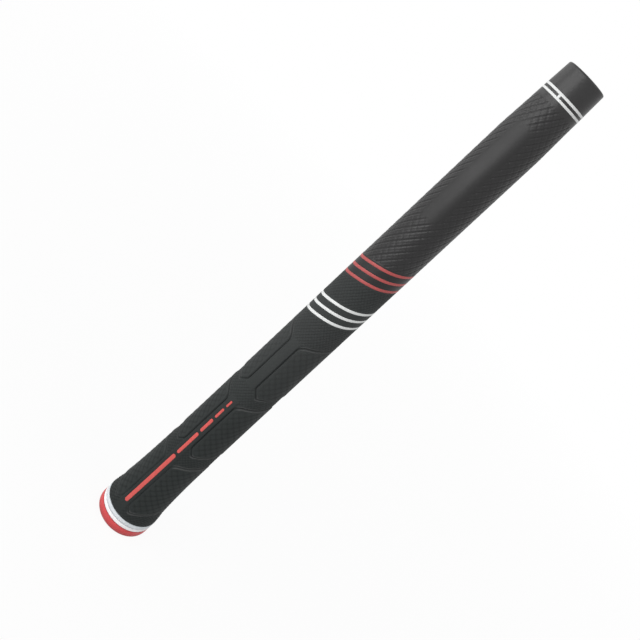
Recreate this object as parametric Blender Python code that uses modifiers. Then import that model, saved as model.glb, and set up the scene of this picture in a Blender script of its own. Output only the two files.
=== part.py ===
"""Round golf grip: two rubber sleeves in line, a vented end cap and inlaid colour trim.

The grip stands on its end cap. +Z runs along the axis from the cap to the mouth,
where the club's shaft goes in, and the origin is the centre of the cap's flat face.
The row of alignment dashes faces -Y. All sizes are in metres.
"""

import math

import bpy
import numpy as np

# Overall sizes
GRIP_LENGTH = 0.267
CAP_RADIUS = 0.0134
MOUTH_RADIUS = 0.00815

# Outer shape of the sleeves: a slow straight taper, a flare at the cap and a cone at the mouth
BODY_RADIUS_AT_CAP = 0.01135
BODY_RADIUS_AT_CONE = 0.00944
CONE_LENGTH = 0.029
FLARE_LENGTH = 0.020
LIP_ROUNDING = 0.0006

# Bore for the shaft
BORE_RADIUS_AT_CAP = 0.0076
BORE_RADIUS_AT_MOUTH = 0.0066

# End cap and its two trim rings
CAP_HEIGHT = 0.0054
CAP_ROUNDING = 0.0028
PLUG_LENGTH = 0.0086
VENT_RADIUS = 0.0020
TRIM_RING_HEIGHT = 0.0018

# Slanted stripes: heights are where each stripe's middle crosses the axis
WHITE_STRIPE_HEIGHT = 0.1439
RED_STRIPE_HEIGHT = 0.1654
STRIPE_PITCH = 0.00407
STRIPE_COUNT = 3
STRIPE_WIDTH = 0.0012
STRIPE_TILT = math.radians(21.65)
STRIPE_RISE_AZIMUTH = math.radians(14.0)

# Pair of rings near the mouth, joined by one tick in line with the dashes
MOUTH_RING_FROM_LIP = 0.0104
MOUTH_RING_PITCH = 0.00183
MOUTH_RING_WIDTH = 0.0010
TICK_WIDTH = 0.0010

# Row of alignment dashes, from the cap towards the mouth
DASH_START = 0.0173
DASH_GAP = 0.00155
DASH_LENGTHS = (0.0346, 0.0141, 0.0081, 0.0057, 0.0036)
DASH_WIDTHS = (0.0019, 0.0015, 0.0014, 0.0011, 0.0009)

# Fits
INLAY_DEPTH = 0.0005
CLEARANCE = 0.0003

# Fineness of the round shapes
SEGMENTS = 40
FLARE_STEPS = 9
ARC_STEPS = 4

# Colours are linear RGB
UPPER_RUBBER = ("upper_rubber", (0.024, 0.027, 0.026), 0.75)
LOWER_RUBBER = ("lower_rubber", (0.031, 0.030, 0.030), 0.70)
RED_RUBBER = ("red_rubber", (0.61, 0.053, 0.058), 0.55)
RED_PAINT = ("red_paint", (0.61, 0.053, 0.058), 0.50)
WHITE_RUBBER = ("white_rubber", (0.83, 0.85, 0.87), 0.50)
WHITE_PAINT = ("white_paint", (0.83, 0.85, 0.87), 0.45)

# Heights and fits that follow from the sizes above
CONE_START = GRIP_LENGTH - CONE_LENGTH
MOUTH_RING_HEIGHT = GRIP_LENGTH - MOUTH_RING_FROM_LIP
TRIM_BASE = CAP_HEIGHT + CLEARANCE
TRIM_STEP = TRIM_RING_HEIGHT + CLEARANCE
SLEEVE_BASE = TRIM_BASE + 2 * TRIM_STEP
PLUG_TOP = CAP_HEIGHT + PLUG_LENGTH
PLUG_RADIUS = BORE_RADIUS_AT_CAP - CLEARANCE
POCKET_DEPTH = INLAY_DEPTH + CLEARANCE
OUTSIDE = 2 * CAP_RADIUS


def flared_radius(height):
    """Straight taper plus a flare that dies away from the cap."""
    along = (height - SLEEVE_BASE) / (CONE_START - SLEEVE_BASE)
    taper = BODY_RADIUS_AT_CAP + (BODY_RADIUS_AT_CONE - BODY_RADIUS_AT_CAP) * along
    flare = CAP_RADIUS - BODY_RADIUS_AT_CAP
    return taper + flare * math.exp((SLEEVE_BASE - height) / FLARE_LENGTH)


def outer_stations():
    """Heights and radii of the sleeves' outer side, closer together in the flare."""
    reach = CONE_START - SLEEVE_BASE
    heights = [SLEEVE_BASE + reach * (step / FLARE_STEPS) ** 2 for step in range(FLARE_STEPS + 1)]
    radii = [flared_radius(height) for height in heights]
    return heights + [GRIP_LENGTH], radii + [MOUTH_RADIUS]


STATION_HEIGHTS, STATION_RADII = outer_stations()


def outer_radius(height):
    """Radius of the sleeves' outer side, straight between the stations."""
    return float(np.interp(height, STATION_HEIGHTS, STATION_RADII))


def bore_radius(height):
    """Radius of the tapered shaft bore."""
    along = (height - SLEEVE_BASE) / (GRIP_LENGTH - SLEEVE_BASE)
    return BORE_RADIUS_AT_CAP + (BORE_RADIUS_AT_MOUTH - BORE_RADIUS_AT_CAP) * along


def heights_between(low, high):
    """The two heights given and every station between them, from the top down."""
    inner = [height for height in STATION_HEIGHTS if low < height < high]
    return [high] + inner[::-1] + [low]


def quarter_arc(centre, radius, start, end):
    """Points of an arc in the (radius, height) plane."""
    angles = [start + (end - start) * step / ARC_STEPS for step in range(ARC_STEPS + 1)]
    return [(centre[0] + radius * math.cos(a), centre[1] + radius * math.sin(a)) for a in angles]


def clear_scene():
    """Remove every object, and the collections of an earlier run."""
    for item in list(bpy.data.objects):
        bpy.data.objects.remove(item, do_unlink=True)
    for group in list(bpy.data.collections):
        bpy.data.collections.remove(group)


def new_collection(name):
    """Make a collection in the scene."""
    group = bpy.data.collections.new(name)
    bpy.context.scene.collection.children.link(group)
    return group


def material(finish):
    """Get or make the Principled material of a finish: its name, colour and roughness."""
    name, colour, roughness = finish
    found = bpy.data.materials.get(name)
    if found:
        return found
    made = bpy.data.materials.new(name)
    made.use_nodes = True
    shader = made.node_tree.nodes["Principled BSDF"]
    shader.inputs["Base Color"].default_value = (*colour, 1.0)
    shader.inputs["Roughness"].default_value = roughness
    shader.inputs["Metallic"].default_value = 0.0
    made.diffuse_color = (*colour, 1.0)
    return made


def place(item, group, finish=None):
    """Put an object in its collection, as a part with a finish or as a cutter without one."""
    for other in list(item.users_collection):
        other.objects.unlink(item)
    group.objects.link(item)
    if finish:
        item.data.materials.append(material(finish))
    else:
        item.hide_render = True
        item.display_type = "WIRE"
    return item


def turned(name, profile, group, finish=None):
    """Turn a closed profile of (radius, height) points about Z. It runs down its outer side."""
    mesh = bpy.data.meshes.new(name)
    count = len(profile)
    points = [(radius, 0.0, height) for radius, height in profile]
    mesh.from_pydata(points, [(i, (i + 1) % count) for i in range(count)], [])
    item = bpy.data.objects.new(name, mesh)
    screw = item.modifiers.new("Turn", "SCREW")
    screw.axis = "Z"
    screw.angle = 2 * math.pi
    screw.steps = SEGMENTS
    screw.render_steps = SEGMENTS
    screw.use_merge_vertices = True
    screw.merge_threshold = 0.00001
    screw.use_smooth_shade = True
    return place(item, group, finish)


def block(name, size, location, rotation, group):
    """A box for cutting, by its three sizes, its middle and its Euler rotation."""
    bpy.ops.mesh.primitive_cube_add(size=1.0, location=location, rotation=rotation)
    item = bpy.context.object
    item.name = name
    item.scale = size
    return place(item, group)


def combine(item, other, operation):
    """Add an exact Boolean to an object."""
    cut = item.modifiers.new(other.name, "BOOLEAN")
    cut.operation = operation
    cut.solver = "EXACT"
    cut.object = other


def skin(name, low, high, inside, outside, group, finish=None):
    """A sleeve-shaped ring that follows the outer side, from inside it to outside it."""
    heights = heights_between(low, high)
    outer = [(outer_radius(height) + outside, height) for height in heights]
    inner = [(outer_radius(height) - inside, height) for height in reversed(heights)]
    return turned(name, outer + inner, group, finish)


def slanted_block(name, height, thickness, group):
    """A flat slab across the axis, tilted as the stripes are."""
    size = (2 * OUTSIDE, 2 * OUTSIDE, thickness)
    return block(name, size, (0.0, 0.0, height), (0.0, -STRIPE_TILT, STRIPE_RISE_AZIMUTH), group)


def make_cap(parts):
    """Red end cap: rounded rim, vent and the plug that goes up into the bore."""
    rim = quarter_arc(
        (CAP_RADIUS - CAP_ROUNDING, CAP_ROUNDING), CAP_ROUNDING, 0.0, -math.pi / 2
    )
    profile = [(PLUG_RADIUS, PLUG_TOP), (PLUG_RADIUS, CAP_HEIGHT), (CAP_RADIUS, CAP_HEIGHT)]
    profile += rim
    profile += [(VENT_RADIUS, 0.0), (VENT_RADIUS, PLUG_TOP)]
    turned("end_cap", profile, parts, RED_RUBBER)


def make_trim_rings(parts):
    """Two white rings round the plug, between the cap and the sleeve."""
    inner = PLUG_RADIUS + CLEARANCE
    for number, name in enumerate(("trim_ring_lower", "trim_ring_upper")):
        low = TRIM_BASE + number * TRIM_STEP
        high = low + TRIM_RING_HEIGHT
        profile = [(CAP_RADIUS, high), (CAP_RADIUS, low), (inner, low), (inner, high)]
        turned(name, profile, parts, WHITE_RUBBER)


def sleeve_profile():
    """Outer side from a rounded lip down to the cap end, then up the bore."""
    lip = quarter_arc(
        (MOUTH_RADIUS - LIP_ROUNDING, GRIP_LENGTH - LIP_ROUNDING), LIP_ROUNDING, math.pi / 2, 0.0
    )
    below = [height for height in heights_between(SLEEVE_BASE, GRIP_LENGTH) if height < GRIP_LENGTH]
    outer = lip + [(outer_radius(height), height) for height in below]
    bore = [(BORE_RADIUS_AT_CAP, SLEEVE_BASE), (BORE_RADIUS_AT_MOUTH, GRIP_LENGTH)]
    return outer + bore


def make_sleeves(parts, cutters):
    """Two sleeves that meet on a slanted joint under the first red stripe."""
    upper = turned("upper_hand_sleeve", sleeve_profile(), parts, UPPER_RUBBER)
    lower = turned("lower_hand_sleeve", sleeve_profile(), parts, LOWER_RUBBER)
    depth = 2 * GRIP_LENGTH
    lift = (depth - CLEARANCE) / 2 / math.cos(STRIPE_TILT)
    above = slanted_block("joint_above", RED_STRIPE_HEIGHT + lift, depth, cutters)
    below = slanted_block("joint_below", RED_STRIPE_HEIGHT - lift, depth, cutters)
    for cutter in (above, below):
        cutter.scale.x = depth
        cutter.scale.y = depth
    combine(upper, above, "DIFFERENCE")
    combine(lower, below, "DIFFERENCE")
    return upper, lower


def make_stripe(name, height, finish, carriers, parts, cutters):
    """One slanted stripe ring, and the groove that it lies in."""
    reach = CAP_RADIUS * math.tan(STRIPE_TILT) + STRIPE_WIDTH + 2 * CLEARANCE
    low = height - reach
    high = height + reach
    stripe = skin(name, low, high, INLAY_DEPTH, 0.0, parts, finish)
    slab = slanted_block(name + "_slab", height, STRIPE_WIDTH, cutters)
    combine(stripe, slab, "INTERSECT")
    groove = skin(name + "_groove", low, high, POCKET_DEPTH, INLAY_DEPTH, cutters)
    wide = slanted_block(name + "_wide_slab", height, STRIPE_WIDTH + 2 * CLEARANCE, cutters)
    combine(groove, wide, "INTERSECT")
    for sleeve in carriers:
        combine(sleeve, groove, "DIFFERENCE")


def make_stripes(upper, lower, parts, cutters):
    """Three white stripes on the upper-hand sleeve and three red ones at the joint."""
    for number in range(STRIPE_COUNT):
        step = number * STRIPE_PITCH
        white = f"white_stripe_{number + 1}"
        make_stripe(white, WHITE_STRIPE_HEIGHT + step, WHITE_PAINT, [upper], parts, cutters)
        red = f"red_stripe_{number + 1}"
        carriers = [upper, lower] if number == 0 else [lower]
        make_stripe(red, RED_STRIPE_HEIGHT + step, RED_PAINT, carriers, parts, cutters)


def make_mouth_rings(lower, parts, cutters):
    """Two white rings joined by a tick, in one wide groove."""
    half_ring = MOUTH_RING_WIDTH / 2
    low = MOUTH_RING_HEIGHT - MOUTH_RING_PITCH / 2 - half_ring
    high = MOUTH_RING_HEIGHT + MOUTH_RING_PITCH / 2 + half_ring
    rings = skin("mouth_rings", low, high, INLAY_DEPTH, 0.0, parts, WHITE_PAINT)
    gap_low = low + MOUTH_RING_WIDTH
    gap_high = high - MOUTH_RING_WIDTH
    gap = skin("mouth_ring_gap", gap_low, gap_high, POCKET_DEPTH, INLAY_DEPTH, cutters)
    tick_size = (TICK_WIDTH, OUTSIDE, MOUTH_RING_PITCH)
    tick = block("tick", tick_size, (0.0, -OUTSIDE / 2, MOUTH_RING_HEIGHT), (0.0, 0.0, 0.0), cutters)
    combine(gap, tick, "DIFFERENCE")
    combine(rings, gap, "DIFFERENCE")
    groove = skin(
        "mouth_groove", low - CLEARANCE, high + CLEARANCE, POCKET_DEPTH, INLAY_DEPTH, cutters
    )
    combine(lower, groove, "DIFFERENCE")


def make_dashes(upper, parts, cutters):
    """Row of red dashes that get shorter and narrower, each in its own pocket."""
    low = DASH_START
    for number, (length, width) in enumerate(zip(DASH_LENGTHS, DASH_WIDTHS)):
        name = f"alignment_dash_{number + 1}"
        high = low + length
        middle = (0.0, -OUTSIDE / 2, (low + high) / 2)
        dash = skin(name, low, high, INLAY_DEPTH, 0.0, parts, RED_PAINT)
        strip = block(name + "_strip", (width, OUTSIDE, 2 * length), middle, (0.0, 0.0, 0.0), cutters)
        combine(dash, strip, "INTERSECT")
        pocket = skin(
            name + "_pocket", low - CLEARANCE, high + CLEARANCE, POCKET_DEPTH, INLAY_DEPTH, cutters
        )
        wide_size = (width + 2 * CLEARANCE, OUTSIDE, 2 * length)
        wide = block(name + "_wide_strip", wide_size, middle, (0.0, 0.0, 0.0), cutters)
        combine(pocket, wide, "INTERSECT")
        combine(upper, pocket, "DIFFERENCE")
        low = high + DASH_GAP


def main():
    """Build the grip."""
    clear_scene()
    parts = new_collection("golf_grip")
    cutters = new_collection("cutters")
    make_cap(parts)
    make_trim_rings(parts)
    upper, lower = make_sleeves(parts, cutters)
    make_stripes(upper, lower, parts, cutters)
    make_mouth_rings(lower, parts, cutters)
    make_dashes(upper, parts, cutters)


if __name__ == "__main__":
    main()
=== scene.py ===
"""Round golf grip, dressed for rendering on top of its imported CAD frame.

Two rubber sleeves in line, a vented red end cap with two white trim rings, slanted
white and red stripes, a row of red dashes and a pair of rings near the mouth.
+Z runs from the cap to the mouth and the dashes face -Y. All sizes are in metres.
"""

import math

import bpy
import numpy as np
from bpy.props import FloatProperty, FloatVectorProperty, IntProperty, PointerProperty
from bpy.types import Operator, Panel, PropertyGroup
from mathutils import Matrix, Vector


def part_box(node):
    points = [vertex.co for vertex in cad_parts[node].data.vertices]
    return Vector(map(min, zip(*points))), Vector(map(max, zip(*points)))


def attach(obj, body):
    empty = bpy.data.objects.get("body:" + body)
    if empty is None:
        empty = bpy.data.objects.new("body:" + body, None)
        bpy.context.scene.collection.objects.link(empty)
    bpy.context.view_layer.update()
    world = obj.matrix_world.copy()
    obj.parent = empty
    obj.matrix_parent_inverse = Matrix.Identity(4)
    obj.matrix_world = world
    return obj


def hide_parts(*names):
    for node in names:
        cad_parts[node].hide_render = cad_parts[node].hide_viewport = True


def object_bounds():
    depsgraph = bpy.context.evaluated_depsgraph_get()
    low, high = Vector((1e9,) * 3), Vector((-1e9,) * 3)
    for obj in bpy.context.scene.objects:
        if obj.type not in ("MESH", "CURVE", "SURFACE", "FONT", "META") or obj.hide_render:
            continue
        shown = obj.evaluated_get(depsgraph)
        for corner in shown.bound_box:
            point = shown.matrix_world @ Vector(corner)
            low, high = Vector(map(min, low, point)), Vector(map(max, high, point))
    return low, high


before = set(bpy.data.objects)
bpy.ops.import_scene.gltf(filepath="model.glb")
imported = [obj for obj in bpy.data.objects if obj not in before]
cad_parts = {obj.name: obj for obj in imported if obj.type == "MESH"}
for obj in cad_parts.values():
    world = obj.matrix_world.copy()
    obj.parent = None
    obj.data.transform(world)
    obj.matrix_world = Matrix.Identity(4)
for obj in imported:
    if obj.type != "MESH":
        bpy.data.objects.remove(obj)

bl_info = {
    "name": "Golf Grip",
    "version": (1, 0, 0),
    "blender": (4, 5, 0),
    "location": "View3D > Sidebar > Golf Grip",
    "description": "Builds a round rubber golf grip with moulded tread and colour trim",
    "category": "Object",
}

MM = 0.001


def mm(*sizes):
    """Sizes given in millimetres, as metres."""
    return tuple(size * MM for size in sizes)


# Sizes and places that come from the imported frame
CAD_LOW, CAD_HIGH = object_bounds()
GRIP_LENGTH = CAD_HIGH.z
CAP_RADIUS = CAD_HIGH.x
SLEEVE_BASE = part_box("upper_hand_sleeve")[0].z
PLUG_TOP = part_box("end_cap")[1].z
TRIM_LOWER = tuple(corner.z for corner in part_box("trim_ring_lower"))
TRIM_UPPER = tuple(corner.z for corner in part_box("trim_ring_upper"))
MOUTH_BAND = tuple(corner.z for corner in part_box("mouth_rings"))
WHITE_NODES = ("white_stripe_1", "white_stripe_2", "white_stripe_3")
RED_NODES = ("red_stripe_1", "red_stripe_2", "red_stripe_3")
DASH_NODES = tuple("alignment_dash_%d" % number for number in range(1, 6))


def middle_height(node):
    """Half way between the lowest and the highest point of a CAD node."""
    low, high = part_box(node)
    return (low.z + high.z) / 2


WHITE_HEIGHTS = tuple(middle_height(node) for node in WHITE_NODES)
RED_HEIGHTS = tuple(middle_height(node) for node in RED_NODES)
STRIPE_HEIGHTS = WHITE_HEIGHTS + RED_HEIGHTS

# Direction that the dashes face
DASH_AZIMUTH = -math.pi / 2

# Columns round the sleeves, cap and floor, and rows in a rise of the tread and down the bore
COLUMNS, CAP_COLUMNS, FLOOR_COLUMNS = 378, 176, 64
UPPER_ROWS, LOWER_ROWS, BORE_ROWS = 18, 22, 12
SHARP_ANGLE = math.radians(62)
# Set rows this near an end are dropped, and so are even rows this share of a step from a set one
SAME_HEIGHT, ROW_CLEARANCE = 1e-7, 0.6
# Rows in from a groove's wall and from a rounded edge, and the wall's slack
WALL_STEPS = np.array([-0.10, -0.05, -0.02, 0.0, 0.004]) * MM
EDGE_STEPS = np.array([0.01, 0.04, 0.1, 0.2, 0.35, 0.6]) * MM
LIP_STEPS = np.append(EDGE_STEPS, 0.9 * MM)
WALL_SLACK = 0.002 * MM
# Bake map: height of an open grid, then radius and places of its end faces above it
GRID_SHARE, DISC_RADIUS, DISC_PLACES = 0.9, 0.04, ((0.25, 0.95), (0.75, 0.95))

# Where one built length of sleeve hands over to the next
PAD_SPLITS = (0.0536, 0.0952)
TREAD_SPLITS = (0.1940, 0.2240)
COLLAR_START = 0.2540
# Heights over which the rows take up the stripes' slant, and lose it again
LEAN = (0.055, 0.128), (0.182, 0.240)

# Three pairs of grip pads: inner edge's start and end, then the heel's reach back and out
PADS = (
    (0.0168, 0.0462, 2.6 * MM, 2.4 * MM),
    (0.0602, 0.0882, 3.2 * MM, 2.8 * MM),
    (0.1017, 0.1270, 3.7 * MM, 3.5 * MM),
)
# Slopes of heels and toes, the toes' reach on and out, far side, and blend of the corners
HEEL_SLOPE, TOE_SLOPE = 0.48, 0.47
TOE_ON, TOE_OUT, PAD_SIDE, PAD_BLEND = mm(2.3, 2.0, 19.0, 0.22)
# Ramps across a pad's outline: heel or toe nearest, top, bevel, tread, and hatch kept clear
END_NEAREST, PAD_TOP, PAD_BEVEL = mm(0.3, 1.2), mm(0.25, 0.85), mm(0.0, 0.75)
PAD_TREAD_EDGE, HATCH_CLEAR = mm(0.9, 1.7), mm(0.5, 1.0)
# Share of the groove's depth round the first pads
FIRST_GROOVE = 0.55
# Lips by the heels and toes: way from the outline, width and height. The lips also carry a
# painted highlight, and this share of it is taken off on one side, fully below the first
# height and not at all above the second
LIP_OFF, LIP_WIDTH, LIP_HEIGHT = mm(0.55, 0.24, 0.05)
LIP_HIGHLIGHT_CUT, HIGHLIGHT_CUT_HEIGHTS = 0.65, (0.085, 0.100)
# Heights over which the sunken channels between the pads begin and end
CHANNELS = (0.0130, 0.0170), (0.1300, 0.1340)
# Spine under the dashes: heights of its gap and its end, its edge, and the hatch it removes
SPINE_GAP, SPINE_END = ((0.0905, 0.0925), (0.0985, 0.1005)), (0.1275, 0.1300)
SPINE_EDGE, SPINE_SMOOTH = mm(2.0, 2.8), 0.8
# Plain lands beside the stripes, at the butt and before the collar
STRIPE_LAND, BUTT_LAND, COLLAR_LAND = mm(0.5, 0.9), mm(0.9, 1.4), mm(-1.6, -0.3)
# Dash pockets, the bare strip with its slow ends, and a stripe groove's broken edge
POCKET_EDGE, STRIP_EDGE = mm(-0.10, 0.02), mm(-1.3, 0.3)
POCKET_DEPTH, STRIP_BLEND, BREAK_DEPTH, BREAK_WIDTH = mm(0.20, 0.8, 0.04, 0.10)
STRIP_END_SLOPE = 0.4
# Tread lines: half width in turns, and the crossing family's share
UPPER_HATCH, PAD_TREAD = (0.30, 0.60), (0.30, 0.90)
LOWER_WAVES, LOWER_CORES, LOWER_HATCH = (0.40, 0.75), (0.13, 0.35), (0.50, 0.30)
# Share of the hatch's depth on the lower sleeve
LOWER_DEPTH = 0.40
# Painted shade: how dark the hollows are on the upper sleeve, on the lower sleeve and in the
# bore, and how far the smooth strip and lands are darkened to hold down their sheen
GROOVE_DARK, HATCH_DARK, PAD_DARK = 0.8, 0.45, 0.35
CORE_DARK, LOWER_DARK, STRIP_DARK, LAND_DARK = 0.8, 0.25, 0.4, 0.7
BORE_DARK = 0.5
# Bands of painted light on the rubber, on the upper sleeve and at the mouth: share, middle
# height and width
LIT_BAND, MOUTH_LIT_BAND = (0.34, 0.136, 0.046), (0.30, 0.264, 0.022)

# Inlays: side play, a stripe's share of its groove's depth, and the tick's start in a ring
INLAY_PLAY, STRIPE_FILL, TICK_START = 0.01 * MM, 0.9, 0.8
# Drop of an inlay's edge, as depth and power, and its section's parts of the half width
RING_DROP, STRIP_DROP = (0.06 * MM, 12), (0.05 * MM, 10)
RING_PARTS = np.array([-1, -1, -0.97, -0.88, -0.6, -0.3, 0, 0.3, 0.6, 0.88, 0.97, 1, 1])
STRIP_PARTS = np.array([-1, -0.97, -0.85, -0.55, -0.2, 0.2, 0.55, 0.85, 0.97, 1, 1, -1])
# Strips: points in a rounded end, how far round it they go, row spacing and fewest rows
STRIP_ENDS, STRIP_END_TURN, STRIP_STEP, STRIP_ROWS = 9, 0.48 * math.pi, 0.4 * MM, 5

# End cap: roundings of rim, vent, top, plug and vent's top, and the plug's fillet
RIM, VENT_EDGE, TOP_EDGE, PLUG_EDGE, VENT_TOP, FILLET = mm(2.8, 0.5, 0.3, 0.6, 0.4, 0.2)
# Gaps to the trim and the bore, the vent, the groove in the face, and widths of the painted
# shade in that groove and at the seam
CAP_GAP, PLUG_GAP, VENT = mm(0.26, 0.3, 2.0)
FACE_GROOVE, GROOVE_RADIUS, GROOVE_SHADE, CAP_SEAM = mm(8.2, 0.45, 0.4, 0.5)
# Points on the cap's face, side and top, and where the painted shade at the seam and round
# the rim starts
FACE_POINT, SIDE_POINT, TOP_POINT, SEAM_FROM, SHADE_FROM = mm(7.6, 0.8, 10.0, 9.0, 10.0)
# Painted shade round the underside of the rim: height, width and strength
RIM_SHADE = (*mm(1.6, 1.7), 1.5)
# Trim rings: bore, edge rounding, bulge, width of the painted shade at the seams, reach past
# the ends of each solid, bulge's points
TRIM_BORE, TRIM_SOFT, TRIM_BULGE, TRIM_SEAM = mm(8.4, 0.45, 0.06, 0.4)
TRIM_ENDS, TRIM_POINTS = (mm(0.22, 0.05), mm(0.05, 0.26)), 9

# Lamps: height of their aim as a share of the grip, then each one's place and size
LAMP_AIM = 0.75
LAMPS = {
    "key": ((-0.15, -0.74, 0.29), (0.36, 0.34)),
    "fill": ((-0.52, -0.54, 0.31), (0.42, 0.40)),
    "side": ((-0.865, -0.03, 0.34), (0.36, 0.38)),
    "top": ((0.46, -0.08, 0.95), (0.36, 0.36)),
}
# Floor: radius, hole, rings and thickness, and its white share by distance from the grip
FLOOR_REACH, FLOOR_HOLE, FLOOR_RINGS, FLOOR_DEPTH = 6.0, 0.001, 25, 0.02
FLOOR_FADE, FLOOR_WHITE = (0.1, 0.9), (0.93, 1.0)


def number(label, words, default, **kind):
    """A number property, with its unit or subtype."""
    return FloatProperty(name=label, description=words, default=default, **kind)


def length(label, words, default):
    """A length property, given in millimetres and held in metres."""
    return number(label, words, default * MM, unit="LENGTH", precision=5)


def colour(label, words, default):
    """A linear colour property."""
    return FloatVectorProperty(
        name=label, description=words, default=default, subtype="COLOR", min=0.0, max=1.0
    )


def point(label, words, default):
    """A point property in metres."""
    return FloatVectorProperty(
        name=label, description=words, default=default, unit="LENGTH", subtype="TRANSLATION"
    )


class GripBodySettings(PropertyGroup):
    """Sizes of the two sleeves' outer shape and bore."""

    body_at_cap: length("Body at Cap", "Radius of the straight taper at the cap", 11.35)
    body_at_cone: length("Body at Cone", "Radius where the mouth's cone starts", 9.44)
    mouth_radius: length("Mouth Radius", "Outer radius at the lip", 8.15)
    cone_length: length("Cone Length", "Length of the cone that ends at the lip", 29.0)
    flare_length: length("Flare Length", "Height in which the cap's flare dies away", 20.0)
    bore_at_cap: length("Bore at Cap", "Bore radius at the cap end", 7.6)
    bore_at_mouth: length("Bore at Mouth", "Bore radius at the mouth", 6.6)
    lip_rounding: length("Lip Rounding", "Rounding of the lip's outer edge", 0.6)
    butt_rounding: length("Butt Rounding", "Rounding of the sleeve's edge at the trim", 0.35)


class GripTreadSettings(PropertyGroup):
    """Sizes of the moulded tread, the pads and the bare strip."""

    hatch_starts: IntProperty(
        name="Hatch Starts", description="Lines of the fine hatch round the grip", default=42
    )
    hatch_rise: length("Hatch Rise", "Height between two lines of the fine hatch", 1.88)
    hatch_depth: length("Hatch Depth", "Depth of the fine hatch", 0.13)
    tread_starts: IntProperty(
        name="Tread Starts", description="Lines of the coarse tread round the grip", default=21
    )
    tread_rise: length("Tread Rise", "Height between two lines of the coarse tread", 3.76)
    tread_depth: length("Tread Depth", "Depth of the coarse tread's soft waves", 0.075)
    tread_core: length("Tread Core", "Depth of the narrow groove along each wave", 0.05)
    pad_tread_depth: length("Pad Tread Depth", "Depth of the tread on the pads", 0.070)
    pad_height: length("Pad Height", "How far the pads stand above the channels", 0.26)
    pad_groove: length("Pad Groove", "Depth of the groove round each pad", 0.42)
    pad_groove_width: length("Pad Groove Width", "Half width of that groove", 0.31)
    spine_half_width: length("Spine Half Width", "From the dash line to the pads", 2.7)
    strip_low: length("Strip Low", "Height where the bare strip starts", 198.2)
    strip_high: length("Strip High", "Height where the bare strip ends", 242.0)
    strip_half_width: length("Strip Half Width", "Half the bare strip's width", 3.9)


class GripTrimSettings(PropertyGroup):
    """Sizes of the stripes, rings and dashes."""

    stripe_tilt: number(
        "Stripe Tilt", "Slant of the stripes", math.radians(21.65), subtype="ANGLE"
    )
    stripe_bend: number("Stripe Bend", "Share of a third harmonic in the stripes' slant", 0.064)
    rise_azimuth: number(
        "Rise Azimuth", "Direction in which the stripes rise", math.radians(14.0), subtype="ANGLE"
    )
    stripe_width: length("Stripe Width", "Width of a stripe across its slant", 1.2)
    stripe_depth: length("Stripe Depth", "Depth of the stripes' grooves", 0.40)
    crown: length("Crown", "How far an inlay's middle stands above its edges", 0.05)
    ring_width: length("Ring Width", "Width of each ring near the mouth", 0.90)
    ring_pitch: length("Ring Pitch", "Distance between the two rings' middles", 1.83)
    tick_width: length("Tick Width", "Width of the tick between the rings", 0.95)


class GripColourSettings(PropertyGroup):
    """Colours of the rubbers and paints."""

    upper_rubber: colour("Upper Rubber", "Black rubber of the upper hand", (0.0196, 0.0232, 0.0227))
    lower_rubber: colour("Lower Rubber", "Black rubber of the lower hand", (0.0140, 0.0136, 0.0139))
    red_rubber: colour("Red Rubber", "End cap", (0.64, 0.060, 0.066))
    white_rubber: colour("White Rubber", "Trim ring next to the cap", (0.90, 0.89, 0.90))
    # The pale trim rubber is a darker, bluer copy of the white trim rubber: painted shade on that
    # ring
    pale_rubber: colour("Pale Rubber", "Trim ring next to the sleeve", (0.68, 0.72, 0.75))
    dash_paint: colour("Dash Paint", "Red alignment dashes", (0.59, 0.082, 0.072))
    red_paint: colour("Red Paint", "Red stripes", (0.39, 0.068, 0.066))
    white_paint: colour("White Paint", "White stripes and rings", (0.685, 0.695, 0.69))


class GripStageSettings(PropertyGroup):
    """Camera and lamps."""

    camera_place: point("Camera Place", "Where the camera stands", (0.06746, -0.26222, 0.24279))
    camera_aim: point("Camera Aim", "Point that it looks at", (0.00059, -0.01164, 0.14252))
    camera_roll: number(
        "Camera Roll", "Turn about the camera's own axis", math.radians(46.80), subtype="ANGLE"
    )
    camera_lens: number("Camera Lens", "Focal length in millimetres", 41.07)
    key_power: number("Key Power", "Front lamp", 2.0, unit="POWER")
    fill_power: number("Fill Power", "Left lamp", 1.80, unit="POWER")
    side_power: number("Side Power", "Side lamp", 0.75, unit="POWER")
    top_power: number("Top Power", "High lamp", 1.15, unit="POWER")
    room_light: number("Room Light", "Even light from all round", 0.53)
    floor_colour: colour("Floor Colour", "Plain pale floor", (0.86, 0.86, 0.86))


# ---- shaping functions


def ease(low, high, value):
    """Cubic step: 0 below low, 1 above high, with level ends."""
    part = np.clip((value - low) / (high - low), 0.0, 1.0)
    return part * part * (3.0 - 2.0 * part)


def window(begin, end, value):
    """1 between two ramps, each a pair of values, and 0 outside them."""
    return ease(*begin, value) * (1.0 - ease(*end, value))


def soft_least(distances, blend):
    """Least of several fields with its corners rounded: minus blend times log of summed exp."""
    stack = np.stack(distances)
    least = stack.min(axis=0)
    return least - blend * np.log(np.exp((least - stack) / blend).sum(axis=0))


def wrap(angle):
    """The same angle between minus half a turn and half a turn."""
    return (angle + math.pi) % (2 * math.pi) - math.pi


def bump(distance, width):
    """Bell curve: 1 at no distance, falling off with the square of distance over width."""
    return np.exp(-((distance / width) ** 2))


def line_groove(phase, half_width):
    """Cosine-shaped groove along each whole turn of the phase, half_width in turns."""
    off = np.abs((phase / (2 * math.pi) + 0.5) % 1.0 - 0.5)
    return 0.5 + 0.5 * np.cos(math.pi * np.clip(off / half_width, 0.0, 1.0))


def crossed_lines(angle, height, starts, rise, half_width, crossing):
    """Two helical families: starts times the angle, less height over rise, and plus it.

    The second family counts by the share named crossing.
    """
    climb = 2 * math.pi * height / rise
    rising = line_groove(starts * angle - climb, half_width)
    falling = line_groove(starts * angle + climb, half_width)
    return rising + crossing * falling


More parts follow.
